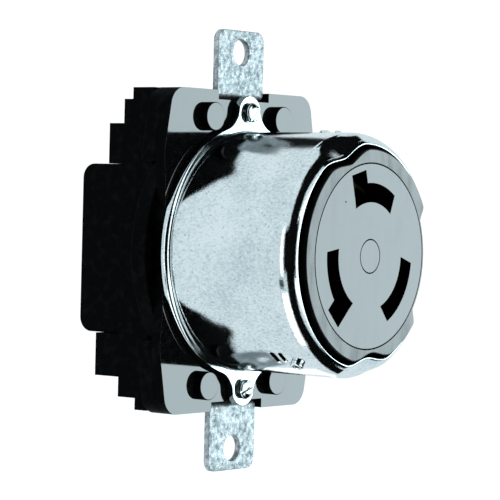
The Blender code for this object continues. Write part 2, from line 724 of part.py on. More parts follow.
def make_rear_cover():
    front = COVER_SEAT + GAP
    y = COVER_REAR - COVER_CORNER
    z = COVER_HALF_HEIGHT - COVER_CORNER
    side = [(front, -COVER_HALF_HEIGHT), *arc((y, -z), COVER_CORNER, -90, 0, 6)]
    side += [*arc((y, z), COVER_CORNER, 0, 90, 6), (front, COVER_HALF_HEIGHT)]
    cover = prism("rear_cover", side, -COVER_HALF_WIDTH, COVER_HALF_WIDTH, "X", "black_phenolic")
    room = LUG_HALF_WIDTH + GAP
    for side_x, side_z in TERMINALS.values():
        x = side_x * LUG_X
        z0, z1 = sorted((side_z * (LUG_Z[0] - GAP), side_z * (LUG_Z[1] + GAP)))
        chamber = box("chamber", (x - room, front - MM, z0), (x + room, LUG_Y[1] + GAP, z1))
        wire = rod("wire_hole", WIRE_HOLE, LUG_Y[1] - MM, COVER_REAR + MM, (x, side_z * WIRE_Z))
        w0, w1 = sorted((side_z * (LUG_Z[1] - MM), side_z * 2 * COVER_HALF_HEIGHT))
        well = rod("screw_well", WELL_RADIUS, w0, w1, (x, CLAMP_Y), "Z")
        cut(cover, chamber, wire, well)


def make_terminal(name, side_x, side_z):
    x = side_x * LUG_X
    z0, z1 = sorted((side_z * LUG_Z[0], side_z * LUG_Z[1]))
    low = (x - LUG_HALF_WIDTH, LUG_Y[0], z0)
    lug = box("terminal_lug_" + name, low, (x + LUG_HALF_WIDTH, LUG_Y[1], z1), "brass")
    half = LUG_HALF_WIDTH - LUG_WALL
    inside = box("lug_inside", (x - half, 0, z0 + LUG_WALL), (x + half, 30 * MM, z1 - LUG_WALL))
    h0, h1 = sorted((side_z * (LUG_Z[1] - 2 * LUG_WALL), side_z * 2 * LUG_Z[1]))
    thread = rod("lug_thread", SCREW_SHANK + HOLE_ROOM, h0, h1, (x, CLAMP_Y), "Z")
    cut(lug, inside, thread)

    axis = bpy.data.objects.new("clamp_axis_" + name, None)
    axis.empty_display_size = 4 * MM
    axis.location = (x, CLAMP_Y, side_z * SCREW_HEAD_Z[1])
    axis.rotation_euler = (0 if side_z > 0 else math.pi, 0, 0)
    bpy.context.scene.collection.objects.link(axis)

    across, along = PLATE_HALF
    below = [z - SCREW_HEAD_Z[1] for z in PLATE_Z]
    low, high = (-across, -along, below[0]), (across, along, below[1])
    plate = box("pressure_plate_" + name, low, high, "plated_steel")
    plate.parent = axis
    seat = SCREW_HEAD_Z[0] - SCREW_HEAD_Z[1]
    chamfer = 0.3 * MM
    tip = below[1] + GAP
    profile = [
        (0, tip),
        (SCREW_SHANK, tip),
        (SCREW_SHANK, seat),
        (SCREW_HEAD, seat),
        (SCREW_HEAD, -chamfer),
        (SCREW_HEAD - chamfer, 0),
        (0, 0),
    ]
    screw = turned("terminal_screw_" + name, profile, "plated_steel")
    slot_half = 0.5 * MM
    slot_depth = 0.9 * MM
    groove = box("groove", (-4 * MM, -slot_half, -slot_depth), (4 * MM, slot_half, MM))
    cut(screw, groove)
    groove.parent = axis
    screw.parent = axis


def make_slotted_screw(name, head_radius, tip, crown):
    """A screw along +Z at the origin: its seat at height 0, head above, shank below down to its tip."""
    profile = [
        (0, tip),
        (SMALL_SHANK, tip),
        (SMALL_SHANK, 0),
        (head_radius, 0),
        (head_radius, crown * 0.6),
        (head_radius * 0.75, crown * 0.92),
        (0, crown),
    ]
    screw = turned(name, profile, "plated_steel")
    groove_low = crown * 0.4
    groove = box("groove", (-4 * MM, -0.35 * MM, groove_low), (4 * MM, 0.35 * MM, 2 * crown))
    cut(screw, groove)
    groove.parent = screw
    return screw


def make_fasteners():
    for name, side_z in (("top", 1), ("bottom", -1)):
        seat = SHELL_RING_FRONT - GAP
        tip = seat - EAR_SCREW_END
        ear = make_slotted_screw("shell_screw_" + name, EAR_HEAD_RADIUS, tip, EAR_HEAD_CROWN)
        place_on_axis(ear, (0, seat, side_z * EAR_HOLE_Z), (0, -1, 0))
    for name, (x, z) in four_corners().items():
        seat = ASSEMBLY_SEAT - 1.5 * MM + GAP
        tip = ASSEMBLY_TIP - seat
        screw = make_slotted_screw("assembly_screw_" + name, ASSEMBLY_HEAD_RADIUS, tip, ASSEMBLY_HEAD_CROWN)
        place_on_axis(screw, (x, seat, z), (0, 1, 0))


def main():
    make_strap()
    make_front_housing()
    make_shell()
    make_ground_spring()
    make_core()
    make_face()
    make_contact_block()
    for name in SLOT_ANGLES:
        make_contact(name)
        make_contact_spring(name)
    make_ground_link()
    make_rear_housing()
    make_rear_cover()
    for name, (side_x, side_z) in TERMINALS.items():
        make_terminal(name, side_x, side_z)
    make_fasteners()


clear_scene()
materials = make_finishes()
main()
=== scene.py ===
import json
import math

import bmesh
import bpy
import numpy as np
from mathutils import Matrix, Vector, noise


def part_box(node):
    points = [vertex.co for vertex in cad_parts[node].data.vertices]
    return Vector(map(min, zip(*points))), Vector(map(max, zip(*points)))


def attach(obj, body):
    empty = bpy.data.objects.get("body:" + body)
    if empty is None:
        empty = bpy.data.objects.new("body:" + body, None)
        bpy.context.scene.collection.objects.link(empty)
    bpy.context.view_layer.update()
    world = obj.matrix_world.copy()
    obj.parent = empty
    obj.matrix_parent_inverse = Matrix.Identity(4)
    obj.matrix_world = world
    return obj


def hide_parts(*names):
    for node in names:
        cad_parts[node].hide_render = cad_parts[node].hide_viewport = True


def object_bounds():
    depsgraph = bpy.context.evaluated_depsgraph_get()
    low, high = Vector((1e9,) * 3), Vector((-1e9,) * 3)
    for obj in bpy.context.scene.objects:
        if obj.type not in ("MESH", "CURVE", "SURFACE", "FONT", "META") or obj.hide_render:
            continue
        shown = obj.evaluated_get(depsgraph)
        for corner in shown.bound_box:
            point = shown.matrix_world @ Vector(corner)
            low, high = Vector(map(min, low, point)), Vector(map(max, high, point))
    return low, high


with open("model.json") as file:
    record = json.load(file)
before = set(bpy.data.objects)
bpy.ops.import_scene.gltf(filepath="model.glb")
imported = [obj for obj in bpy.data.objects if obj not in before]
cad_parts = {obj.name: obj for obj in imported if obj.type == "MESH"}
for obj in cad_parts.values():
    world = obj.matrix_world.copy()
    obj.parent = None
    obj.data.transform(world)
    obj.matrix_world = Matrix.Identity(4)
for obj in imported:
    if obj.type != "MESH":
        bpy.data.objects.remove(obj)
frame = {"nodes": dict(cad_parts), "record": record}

CAD_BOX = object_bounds()
ROOT = "receptacle"
MM = 0.001

# ---------------------------------------------------------------------------------------------------------
# Sizes. Planes and radii come from the frame's boxes; the rest are the shapes inside them, in metres.

shell_low, shell_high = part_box("outer_shell")
flange_low, flange_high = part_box("front_flange_housing")
strap_low, strap_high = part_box("mounting_strap")
core_low, core_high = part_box("core_ring")
disc_low, disc_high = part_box("face_disc")
plug_low, plug_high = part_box("centre_plug")
rear_low, rear_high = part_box("rear_housing")
cover_low, cover_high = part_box("rear_cover")

FLANGE_FRONT = -2.4 * MM
POST_FRONT = flange_low.y
POST_X = 11.7 * MM
POST_Z = 27.82 * MM
POST_RADIUS = 2.96 * MM
PLATE_REAR = 0.0
PLATE_WIDEST = (25.7 * MM, 20.0 * MM)
PLATE_WAIST = (25.1 * MM, 12.85 * MM)
DISC_RADIUS = flange_high.x
LEDGE = 18.2 * MM
NOTCH = (8.55 * MM, 31.5 * MM)

SHELL_RADIUS = 25.0 * MM
SHELL_WALL = 1.0 * MM
RING_RADIUS = shell_high.x
RING_FRONT = -4.1 * MM
SHOULDER_START = -30.4 * MM
SHOULDER = (3.45 * MM, 4.35 * MM)  # half widths of the shoulder's oval: inwards and forwards
SHOULDER_TILT = 60.0
NOSE_RADIUS = 0.4 * MM
EAR_HOLE_Z = 29.0 * MM
EAR_TIP_RADIUS = shell_high.z - EAR_HOLE_Z
EAR_HOLE_RADIUS = 1.8 * MM
EAR_NECK_ANGLE = 7.0
EAR_FLARE_ANGLE = 18.0
EAR_SCREW_CROWN = 1.2 * MM
EAR_SCREW_SHANK = (1.5 * MM, 4.4 * MM)  # radius, and how far the ear's front stands before the strap
EAR_SCREW_TURNS = (("top", 1, 55), ("bottom", -1, 20))
RING_EDGE = (0.15 * MM, 1.0 * MM)  # outer edge's radius near the ears and at the sides
RING_EDGE_ANGLES = (12.0, 62.0)  # from the side: where it begins to shrink and where it ends
RING_FILLET = 0.25 * MM
RIM_INSIDE = ((22.75, -33.3), (23.25, -32.5), (23.7, -31.4), (24.0, -30.4))  # radius and y in millimetres
WALL_WAVES = ((110, 0.05 * MM), (320, 0.012 * MM))  # scale and height of the wall's unevenness
BUTTON_ANGLE = 240.0
# Flats pressed into the rim: angle, half width, depth, softness
KEYS = (
    (110.8, 9.5, 1.82 * MM, 10.5),
    (274.3, 9.8, 1.95 * MM, 9.5),
    (-6.0, 31.5, 2.2 * MM, 3.5),
)
CORE_KEY_SCALE = 1.03
# Small slits (negative height) and raised spots in the shell's wall:
# angle, y, half length in degrees, half width, height
LANCES = (
    (236.5, -22.8 * MM, 4.8, 0.46 * MM, -0.55 * MM),
    (236.0, -24.9 * MM, 4.2, 0.46 * MM, -0.5 * MM),
    (91.0, -23.9 * MM, 2.2, 0.9 * MM, 0.42 * MM),
    (91.0, -27.2 * MM, 1.5, 0.5 * MM, 0.36 * MM),
)

CORE_RADIUS = 21.65 * MM
CORE_BORE = 17.4 * MM
SCREW_HOLE = 1.8 * MM
FACE_RADIUS = disc_high.x
SLOT_ANGLES = {"top": 85.5, "right": -34.5, "left": 205.5}
SLOT = (10.95 * MM, 14.85 * MM)
SLOT_HALF_ANGLES = (33.7, 29.0)
LEG_LEAN = 19.0
LEG_REACH = 17.4 * MM
LEG_SIDES = (-2.3 * MM, 2.7 * MM)

STRAP_LEG = 31.8 * MM
STRAP_TAB = (7.725 * MM, 2.3 * MM)  # half width and corner radius
STRAP_HOLE = (2.75 * MM, 41.65 * MM)  # radius and height
STRAP_OPENING = 15.8 * MM
CORNERS = ((-1, -1), (-1, 1), (1, -1), (1, 1))

TERMINALS = {"top_right": (1, 1), "bottom_right": (1, -1), "bottom_left": (-1, -1), "ground": (-1, 1)}
LUG_X = 10.5 * MM
CLAMP_Y = 18.6 * MM
WIRE_Z = 8.0 * MM
WIRE_HOLE = 3.5 * MM
WELL_RADIUS = 3.3 * MM
COVER_CORNER = 3.0 * MM
COVER_SEAM = 0.03 * MM
REAR_STEPS = (
    (9.4 * MM, rear_high.z),
    (11.7 * MM, 31.0 * MM),
    (15.6 * MM, 26.0 * MM),
    (cover_low.y - 0.3 * MM, cover_high.z + COVER_SEAM),
    (rear_high.y, cover_low.z - COVER_SEAM),
    (11.7 * MM, -26.5 * MM),
    (7.1 * MM, -30.6 * MM),
)

CAMERA_AZIMUTH = -52.329
CAMERA_ELEVATION = 1.263
CAMERA_ROLL = 1.434
CAMERA_DISTANCE = 515.842 * MM
CAMERA_ASIDE = 2.822 * MM
CAMERA_ABOVE = 0.221 * MM
CAMERA_LENS = 176.33

# Azimuth, elevation, distance, size, radiance, tint
SOFTBOXES = {
    "key_right": (52.3, -1, 0.9, (0.75, 0.30), 2.85, (0.77, 0.96, 1.0)),
    "front": (5, 0, 0.75, (0.90, 0.80), 1.0, (0.92, 0.98, 1.0)),
    "left_strip": (-90, 2, 0.7, (0.18, 0.50), 1.1, (1, 1, 1)),
    "low_left": (-88, -58, 0.6, (0.30, 0.56), 0.9, (1, 1, 1)),
    "low_right": (126, -32, 0.65, (0.13, 0.20), 1.0, (1, 1, 1)),
}
BLACK = 0.004
# Dark cards that only reflections show: azimuth, elevation, distance, size, tone
CARDS = {
    "doorway": (142.5, 38.5, 0.7, (0.24, 0.22), 0.01),
    "stool": (-97, -24, 0.7, (0.24, 0.10), 0.03),
    "viewer": (-50, 4, 0.68, (1.10, 0.50), BLACK),
    "corner": (47, 30, 0.72, (0.42, 0.46), BLACK),
    "corner_low": (47, -30, 0.72, (0.42, 0.46), BLACK),
    "ceiling": (10, 64, 0.72, (0.80, 0.54), BLACK),
    "under": (10, -64, 0.72, (0.80, 0.54), BLACK),
}
FLOOR_REACH = 8.0
FLOOR_DROP = 0.75


# ---------------------------------------------------------------------------------------------------------
# Mesh helpers


def link(name, mesh):
    obj = bpy.data.objects.new(name, mesh)
    bpy.context.scene.collection.objects.link(obj)
    mesh.shade_smooth()
    return obj


def outward(mesh):
    bm = bmesh.new()
    bm.from_mesh(mesh)
    bmesh.ops.recalc_face_normals(bm, faces=bm.faces)
    if bm.calc_volume(signed=True) < 0:
        bmesh.ops.reverse_faces(bm, faces=bm.faces)
    bm.to_mesh(mesh)
    bm.free()


def from_faces(name, points, faces):
    mesh = bpy.data.meshes.new(name)
    mesh.from_pydata([tuple(p) for p in points], [], faces)
    outward(mesh)
    return link(name, mesh)


def ring_surface(name, points):
    """A closed tube of quads from points[k][i]: k goes round, i round the section; both wrap."""
    turns, section = points.shape[:2]
    index = np.arange(turns * section).reshape(turns, section)
    right = np.roll(index, -1, 0)
    faces = np.stack([index, right, np.roll(right, -1, 1), np.roll(index, -1, 1)], -1).reshape(-1, 4)
    return from_faces(name, points.reshape(-1, 3), faces.tolist())


def arc(centre, radius, start, end, steps):
    turn = np.radians(np.linspace(start, end, steps + 1))
    return [(centre[0] + radius * math.cos(t), centre[1] + radius * math.sin(t)) for t in turn]


def polar(radius, angle):
    turn = math.radians(angle)
    return (radius * math.cos(turn), radius * math.sin(turn))


def prism(name, outline, low, high, axis="Y"):
    place = {
        "Y": lambda a, b, c: (a, c, b),
        "X": lambda a, b, c: (c, a, b),
        "Z": lambda a, b, c: (a, b, c),
    }[axis]
    count = len(outline)
    points = [place(a, b, c) for c in (low, high) for a, b in outline]
    faces = [list(range(count)), list(range(count, 2 * count))]
    faces += [[i, (i + 1) % count, count + (i + 1) % count, count + i] for i in range(count)]
    return from_faces(name, points, faces)


def box(name, low, high):
    outline = [(low[0], low[1]), (high[0], low[1]), (high[0], high[1]), (low[0], high[1])]
    return prism(name, outline, low[2], high[2], "Z")


def rod(name, radius, low, high, centre=(0, 0), axis="Y", steps=64):
    return prism(name, arc(centre, radius, 0.7, 360.7, steps)[:-1], low, high, axis)


def turned(name, profile, steps=64):
    """A (radius, height) profile from axis to axis, turned about +Z at the origin."""
    points = [(0, 0, profile[0][1]), (0, 0, profile[-1][1])]
    turn = np.linspace(0, math.tau, steps, endpoint=False)
    for radius, height in profile[1:-1]:
        points += [(radius * math.cos(t), radius * math.sin(t), height) for t in turn]
    faces = []
    rings = [2 + k * steps for k in range(len(profile) - 2)]
    for k in range(steps):
        j = (k + 1) % steps
        faces.append([0, rings[0] + j, rings[0] + k])
        faces.append([1, rings[-1] + k, rings[-1] + j])
        faces += [[a + k, a + j, b + j, b + k] for a, b in zip(rings, rings[1:])]
    return from_faces(name, points, faces)


def stand_on(obj, position, direction, spin=0.0):
    """Moves the mesh of a piece made along +Z onto a position, pointing along a direction."""
    turn = Vector((0, 0, 1)).rotation_difference(Vector(direction)).to_matrix().to_4x4()
    obj.data.transform(Matrix.Translation(position) @ turn @ Matrix.Rotation(math.radians(spin), 4, "Z"))
    return obj


def freeze(obj):
    """Applies the modifiers to the mesh."""
    graph = bpy.context.evaluated_depsgraph_get()
    mesh = bpy.data.meshes.new_from_object(obj.evaluated_get(graph))
    obj.modifiers.clear()
    obj.data = mesh
    return obj


def carve(obj, *cutters, operation="DIFFERENCE"):
    for cutter in cutters:
        modifier = obj.modifiers.new("cut", "BOOLEAN")
        modifier.operation = operation
        modifier.object = cutter
    freeze(obj)
    for cutter in cutters:
        bpy.data.objects.remove(cutter)
    return obj


def soften(obj, width, segments=3, limit=30):
    """Rounds the sharp edges and keeps the flats flat."""
    bevel = obj.modifiers.new("edges", "BEVEL")
    bevel.width = width
    bevel.segments = segments
    bevel.limit_method = "ANGLE"
    bevel.angle_limit = math.radians(limit)
    bevel.miter_outer = "MITER_ARC"
    bevel.use_clamp_overlap = True
    weighted = obj.modifiers.new("normals", "WEIGHTED_NORMAL")
    weighted.keep_sharp = False
    weighted.weight = 100
    obj.data.shade_smooth()
    return freeze(obj)


def finish_piece(obj, finish, slot, *nodes, body=ROOT, sides=None, facing=0.35):
    """Gives a piece its body and material; faces that don't look forwards can have their own. The slot
    argument is not used.
    """
    obj.data.materials.clear()
    obj.data.materials.append(FINISHES[finish])
    # Faces that don't look forwards get the second material, which paints shade on them.
    if sides:
        obj.data.materials.append(FINISHES[sides])
        for face in obj.data.polygons:
            face.material_index = 0 if face.normal.y < -facing else 1
    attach(obj, body)
    if nodes:
        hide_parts(*nodes)
    return obj


def hull(points):
    points = sorted(set(points))

    def half(ordered):
        chain = []
        for p in ordered:
            while len(chain) > 1 and cross(chain[-2], chain[-1], p) <= 0:
                chain.pop()
            chain.append(p)
        return chain[:-1]

    return half(points) + half(points[::-1])


def cross(o, a, b):
    return (a[0] - o[0]) * (b[1] - o[1]) - (a[1] - o[1]) * (b[0] - o[0])


def four_way(quadrant):
    """A closed outline from its first quadrant, given from the +b axis round to the +a axis."""
    ring = list(quadrant)
    ring += [(a, -b) for a, b in reversed(quadrant)]
    ring += [(-a, -b) for a, b in quadrant]
    ring += [(-a, b) for a, b in reversed(quadrant)]
    return [p for i, p in enumerate(ring) if math.dist(p, ring[i - 1]) > 1e-7]


# ---------------------------------------------------------------------------------------------------------
# Materials


class Graph:
    """A material's node tree, with one short call for each kind of node."""

    def __init__(self, name):
        self.material = bpy.data.materials.new(name)
        self.material.use_nodes = True
        self.tree = self.material.node_tree
        self.shader = self.tree.nodes["Principled BSDF"]
        self.place = self.tree.nodes.new("ShaderNodeTexCoord").outputs["Object"]

    def join(self, source, target):
        self.tree.links.new(source, target)

    def stretch(self, scale, turn=(0, 0, 0)):
        node = self.tree.nodes.new("ShaderNodeMapping")
        node.inputs["Scale"].default_value = scale
        node.inputs["Rotation"].default_value = [math.radians(t) for t in turn]
        self.join(self.place, node.inputs["Vector"])
        return node.outputs["Vector"]

    def noise(self, scale, detail=3.0, roughness=0.55, place=None):
        node = self.tree.nodes.new("ShaderNodeTexNoise")
        node.inputs["Scale"].default_value = scale
        node.inputs["Detail"].default_value = detail
        node.inputs["Roughness"].default_value = roughness
        self.join(place or self.place, node.inputs["Vector"])
        return node.outputs["Fac"]

    def cells(self, scale):
        node = self.tree.nodes.new("ShaderNodeTexVoronoi")
        node.inputs["Scale"].default_value = scale
        self.join(self.place, node.inputs["Vector"])
        return node.outputs["Distance"]

    def remap(self, value, low, high, to_low, to_high):
        node = self.tree.nodes.new("ShaderNodeMapRange")
        for name, number in (("From Min", low), ("From Max", high), ("To Min", to_low), ("To Max", to_high)):
            node.inputs[name].default_value = number
        self.join(value, node.inputs["Value"])
        return node.outputs["Result"]

    def maths(self, operation, a, b):
        node = self.tree.nodes.new("ShaderNodeMath")
        node.operation = operation
        for socket, value in zip(node.inputs, (a, b)):
            if isinstance(value, (int, float)):
                socket.default_value = value
            else:
                self.join(value, socket)
        return node.outputs[0]

    def blend(self, factor, first, second):
        node = self.tree.nodes.new("ShaderNodeMix")
        node.data_type = "RGBA"
        self.join(factor, node.inputs["Factor"])
        node.inputs["A"].default_value = (*first, 1)
        node.inputs["B"].default_value = (*second, 1)
        return node.outputs["Result"]

    def bump(self, height, distance):
        node = self.tree.nodes.new("ShaderNodeBump")
        node.inputs["Strength"].default_value = 1.0
        node.inputs["Distance"].default_value = distance
        self.join(height, node.inputs["Height"])
        self.join(node.outputs["Normal"], self.shader.inputs["Normal"])


def bright_plate():
    """Bright plated drawn steel: near mirror, with a fine grain, draw lines and tiny pits."""
    g = Graph("bright_plate")
    lines = g.noise(2100, 4, 0.7, g.stretch((1.0, 0.6, 1.0)))
    grain = g.noise(3200, 4, 0.7)
    pits = g.remap(g.cells(760), 0.02, 0.2, 0.0, 1.0)
    cloud = g.noise(110, 5)
    tone = g.maths("ADD", g.maths("MULTIPLY", lines, 0.65), g.maths("MULTIPLY", cloud, 0.35))
    tone = g.maths("SUBTRACT", g.maths("ADD", tone, 0.3), g.maths("MULTIPLY", pits, 0.35))
    shade = g.remap(tone, 0.38, 0.64, 0, 1)
    g.join(g.blend(shade, (0.88, 0.95, 0.95), (0.46, 0.58, 0.61)), g.shader.inputs["Base Color"])
    g.shader.inputs["Metallic"].default_value = 1.0
    g.join(g.remap(g.noise(420, 5, 0.6), 0.3, 0.75, 0.03, 0.10), g.shader.inputs["Roughness"])
    height = g.maths("ADD", g.maths("MULTIPLY", lines, 0.6), g.maths("MULTIPLY", grain, 0.35))
    height = g.maths("ADD", height, g.maths("MULTIPLY", pits, 0.2))
    g.bump(height, 0.000022)
    return g.material


def zinc_plate(name, tone):
    """Satin zinc on pressed steel: mottled, with a rough grain and scuffs."""
    g = Graph(name)
    patches = g.noise(1100, 5, 0.7)
    light = tuple(c * tone for c in (0.70, 0.74, 0.76))
    dark = tuple(c * tone for c in (0.20, 0.25, 0.27))
    g.join(g.blend(g.remap(patches, 0.38, 0.62, 0, 1), light, dark), g.shader.inputs["Base Color"])
    g.shader.inputs["Metallic"].default_value = 1.0
    g.join(g.remap(g.noise(900, 4), 0.3, 0.7, 0.42, 0.62), g.shader.inputs["Roughness"])
    scuffs = g.noise(700, 3, 0.6, g.stretch((0.3, 1.0, 1.6), (0, 18, 0)))
    height = g.maths("ADD", g.noise(1500, 4, 0.6), g.maths("MULTIPLY", scuffs, 0.6))
    g.bump(height, 0.00007)
    return g.material


def phenolic(name, colour, roughness, specular, grain, wear=0.0, ior=1.5):
    """Black moulding with a trace of flow marks, dust specks and rubbed spots."""
    g = Graph(name)
    dull = tuple(min(1.0, c * 2.2 + 0.004) for c in colour)
    g.join(g.blend(g.remap(g.noise(500, 4), 0.5, 0.8, 0, 1), colour, dull), g.shader.inputs["Base Color"])
    g.shader.inputs["Specular IOR Level"].default_value = specular
    g.shader.inputs["IOR"].default_value = ior
    smear = g.noise(240, 5, 0.6, g.stretch((1.5, 1.5, 0.45)))
    low, high = roughness
    g.join(g.remap(smear, 0.3, 0.75, low, high), g.shader.inputs["Roughness"])
    flow = g.noise(90, 2, 0.5, g.stretch((2.0, 2.0, 0.6)))
    fine = g.noise(2600, 2)
    specks = g.remap(g.cells(480), 0.0, 0.07, 1.0, 0.0)
    height = g.maths("ADD", g.maths("MULTIPLY", flow, 1.0), g.maths("MULTIPLY", fine, 0.12))
    height = g.maths("ADD", height, g.maths("MULTIPLY", specks, 0.2 + wear))
    g.bump(height, grain)
    return g.material


def plain_metal(name, colour, darker, roughness):
    """Brass or spring strip: rolled lines, tarnish and roughness variation."""
    g = Graph(name)
    tarnish = g.remap(g.noise(350, 5, 0.6), 0.4, 0.7, 0, 1)
    g.join(g.blend(tarnish, colour, darker), g.shader.inputs["Base Color"])
    g.shader.inputs["Metallic"].default_value = 1.0
    low, high = roughness
    g.join(g.remap(g.noise(800, 4), 0.3, 0.7, low, high), g.shader.inputs["Roughness"])
    rolled = g.noise(1400, 3, 0.5, g.stretch((1.0, 0.1, 1.0)))
    g.bump(g.maths("ADD", rolled, g.maths("MULTIPLY", g.noise(3000, 2), 0.4)), 0.00001)
    return g.material


FINISHES = {
    "bright": bright_plate(),
    "zinc": zinc_plate("zinc_plate", 1.0),
    "screw_zinc": zinc_plate("screw_zinc", 0.95),
    "flange_black": phenolic("flange_black", (0.004, 0.0042, 0.0045), (0.03, 0.09), 0.5, 0.000004, 0.0, 2.0),
    # A darker, duller copy of the black moulding that paints shade: faces turned away from the front, the
    # disc behind the plate, and slit and hole insides take it so they read dark.
    "painted_shade_black": phenolic("painted_shade_black", (0.0008, 0.0008, 0.001), (0.3, 0.5), 0.02, 0.00001),
    "body_black": phenolic("body_black", (0.0006, 0.0006, 0.0008), (0.25, 0.45), 0.022, 0.00002),
    "core_black": phenolic("core_black", (0.006, 0.0065, 0.007), (0.05, 0.24), 0.5, 0.000008, 0.1, 2.0),
    "ring_black": phenolic("ring_black", (0.005, 0.0058, 0.006), (0.10, 0.42), 0.5, 0.00002, 0.2, 1.9),
    # The contacts' brass is a much darker copy of the brass: painted shade for their place deep in the slots.
    "contact_brass_painted_shade": plain_metal("contact_brass_painted_shade", (0.16, 0.11, 0.05), (0.07, 0.05, 0.025), (0.35, 0.5)),
    "brass": plain_metal("brass", (0.78, 0.58, 0.27), (0.52, 0.35, 0.14), (0.2, 0.42)),
    "spring": plain_metal("spring_strip", (0.5, 0.51, 0.53), (0.3, 0.3, 0.32), (0.25, 0.45)),
}


# ---------------------------------------------------------------------------------------------------------
# The shell


def smooth(value):
    value = min(1.0, max(0.0, value))
    return value * value * (3 - 2 * value)


def apart(angle, middle):
    return abs((angle - middle + 180) % 360 - 180)


def key_depth(angle):
    """How far the rim is pressed in at an angle."""
    return max(d * smooth((w + s - apart(angle, m)) / (2 * s)) for m, w, d, s in KEYS)


def ring_radius(angle):
    """Outside of the shell's base ring, with an ear at the top and the bottom."""
    away = abs(angle % 180 - 90)
    if away <= EAR_NECK_ANGLE:
        turn = math.radians(away)
        across = EAR_HOLE_Z * math.sin(turn)
        return EAR_HOLE_Z * math.cos(turn) + math.sqrt(max(0.0, EAR_TIP_RADIUS**2 - across**2))
    neck = EAR_HOLE_Z * math.cos(math.radians(EAR_NECK_ANGLE))
    flare = (away - EAR_NECK_ANGLE) / (EAR_FLARE_ANGLE - EAR_NECK_ANGLE)
    if flare >= 1:
        return RING_RADIUS
    return RING_RADIUS + (neck - RING_RADIUS) * (1 - flare) ** 3


def edge_round(angle):
    """Radius of the base ring's outer edge: fuller at the sides than near the ears."""
    away = min(apart(angle, 0), apart(angle, 180))
    near, far = RING_EDGE_ANGLES
    return RING_EDGE[0] + (RING_EDGE[1] - RING_EDGE[0]) * smooth((far - away) / (far - near))


def shell_section(angle):
    """The metal's section as (radius, y, key weight, ripple weight, outline weight), all the way round."""
    edge = edge_round(angle)
    rear = shell_high.y
    out = [(0, rear, 0, 0, 1), (0, RING_FRONT + edge, 0, 0, 1)]
    for r, y in arc((-edge, RING_FRONT + edge), edge, 0, -90, 14)[1:]:
        out.append((r, y, 0, 0, 1))
    centre = (SHELL_RADIUS + RING_FILLET, RING_FRONT - RING_FILLET)
    for r, y in arc(centre, RING_FILLET, 90, 180, 10):
        out.append((r, y, 0, 0, 0))
    for y in np.linspace(RING_FRONT - RING_FILLET, SHOULDER_START, 91)[1:]:
        out.append((SHELL_RADIUS, float(y), 0, 1, 0))
    wide, deep = SHOULDER
    for tilt in np.radians(np.linspace(0, SHOULDER_TILT, 25)[1:]):
        turn = math.atan(math.tan(tilt) * deep / wide)
        r = SHELL_RADIUS - wide + wide * math.cos(turn)
        y = SHOULDER_START - deep * math.sin(turn)
        out.append((r, y, 1, 0.6, 0))
    tip = (r - NOSE_RADIUS * math.cos(tilt), y + NOSE_RADIUS * math.sin(tilt))
    for r, y in arc(tip, NOSE_RADIUS, -SHOULDER_TILT, -180, 12)[1:]:
        out.append((r, y, 1, 0.2, 0))
    inner = SHELL_RADIUS - SHELL_WALL
    for k, (r, y) in enumerate(RIM_INSIDE):
        out.append((r * MM, y * MM, 1 - 0.25 * k, 0, 0))
    out.append((inner, -20 * MM, 0, 0, 0))
    out.append((inner, -5.2 * MM, 0, 0, 0))
    out.append((24.5 * MM, rear, 0, 0, 0))
    return out


def key_weight(y):
    return smooth((-29.6 * MM - y) / (3.9 * MM))


def lance_height(angle, y):
    total = 0.0
    for middle, place, half_angle, half_width, height in LANCES:
        along = smooth((half_angle - apart(angle, middle)) / (0.35 * half_angle))
        total += height * along * smooth((half_width - abs(y - place)) / (0.4 * half_width))
    return total


def make_shell():
    steps = 720
    points = np.zeros((steps, len(shell_section(0)), 3))
    for k in range(steps):
        angle = 360.0 * k / steps
        depth = key_depth(angle)
        outline = ring_radius(angle)
        for i, (r, y, keyed, ripple, outer) in enumerate(shell_section(angle)):
            r += outline * outer - keyed * key_weight(y) * depth
            x, z = polar(r, angle)
            if ripple:
                at = Vector((x, y, z))
                r += ripple * sum(noise.noise(at * scale) * height for scale, height in WALL_WAVES)
                x, z = polar(r + lance_height(angle, y), angle)
            points[k, i] = (x, y, z)
    shell = ring_surface("shell_cup", points)
    for side in (-1, 1):
        carve(shell, rod("ear_hole", EAR_HOLE_RADIUS, -9 * MM, 0, (0, side * EAR_HOLE_Z), steps=48))
    mark_sharp(shell, 50)
    finish_piece(shell, "bright", "shell_steel", "outer_shell")
    # Faces inside the slits get the black painted-shade material, so the slits read as dark openings.
    shell.data.materials.append(FINISHES["painted_shade_black"])
    for face in shell.data.polygons:
        radius = math.hypot(face.center.x, face.center.z)
        slit_painted_shade = SHELL_RADIUS - 0.8 * MM < radius < SHELL_RADIUS - 0.16 * MM
        if slit_painted_shade and SHOULDER_START < face.center.y < RING_FRONT - MM:
            face.material_index = 1


def mark_sharp(obj, angle):
    obj.data.shade_smooth()
    obj.data.set_sharp_from_angle(angle=math.radians(angle))


def make_shell_screws():
    shank, lift = EAR_SCREW_SHANK
    crown = EAR_SCREW_CROWN
    edge = 0.1 * MM
    for name, side, spin in EAR_SCREW_TURNS:
        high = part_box("shell_screw_" + name)[1]
        radius = high.x
        tip = -(high.y + lift)
        profile = [(0, tip), (shank, tip), (shank, 0)]
        profile += [(radius - edge, 0), (radius, edge), (radius, crown * 0.45)]
        for k in range(1, 9):
            turn = math.radians(90 * k / 9)
            profile.append((radius * math.cos(turn) ** 0.55, crown * (0.45 + 0.55 * math.sin(turn))))
        profile.append((0, crown))
        screw = turned("ear_screw_" + name, profile, 96)
        carve(screw, box("slot", (-3 * MM, -0.28 * MM, crown * 0.5), (3 * MM, 0.28 * MM, 4 * MM)))
        soften(screw, 0.05 * MM, 2, 40)
        stand_on(screw, (0, -lift, side * EAR_HOLE_Z), (0, -1, 0), spin)
        finish_piece(screw, "bright", "shell_steel", "shell_screw_" + name)


